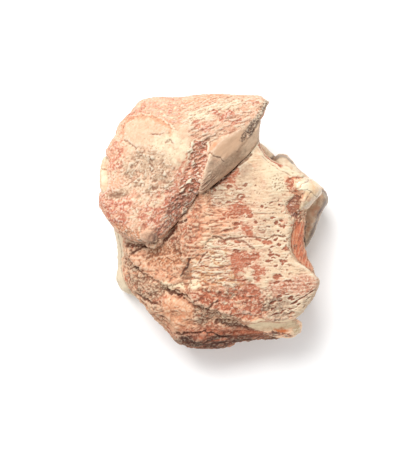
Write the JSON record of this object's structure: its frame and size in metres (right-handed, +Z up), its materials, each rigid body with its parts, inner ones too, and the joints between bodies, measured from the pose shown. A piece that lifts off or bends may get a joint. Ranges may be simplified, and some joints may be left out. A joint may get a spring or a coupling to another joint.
{
  "type": "fossil jaw",
  "caption": "Back end of a fossil oreodont jaw in reddish sediment: ramus plate, jaw joint, cheekbone rim and far branch, lying on its side.",
  "frame": {"origin": "centre of the underside, at the height of the flats it rests on", "axes": "+X towards the jaw joint, +Y towards the cheek and the pointed tip, +Z up, out of the near branch's outer face"},
  "size_m": [0.0884, 0.0978, 0.0491],
  "materials": {
    "ramus_bone": "matt cream fossil bone with red-brown pits and fine striae",
    "condyle_bone": "glossy yellow-cream joint bone with fine cracks",
    "rim_bone": "smooth tan bone, broken end granular grey-brown",
    "stained_bone": "cream and pink bone with a rough grey-brown crust",
    "chip_bone": "clean cream bone",
    "border_bone": "cream bone bar with an orange-brown stain",
    "far_bone": "pale grey-cream bone, brown at its edges",
    "sediment": "rough pink to red-brown mudstone, granular and layered"
  },
  "bodies": {
    "root": {"near_ramus": "ramus_bone", "near_condyle": "condyle_bone", "cheek_rim": "rim_bone", "cheek_block": "stained_bone", "left_chip": "chip_bone", "lower_border": "border_bone", "far_ramus": "far_bone", "sediment": "sediment"}
  },
  "joints": []
}
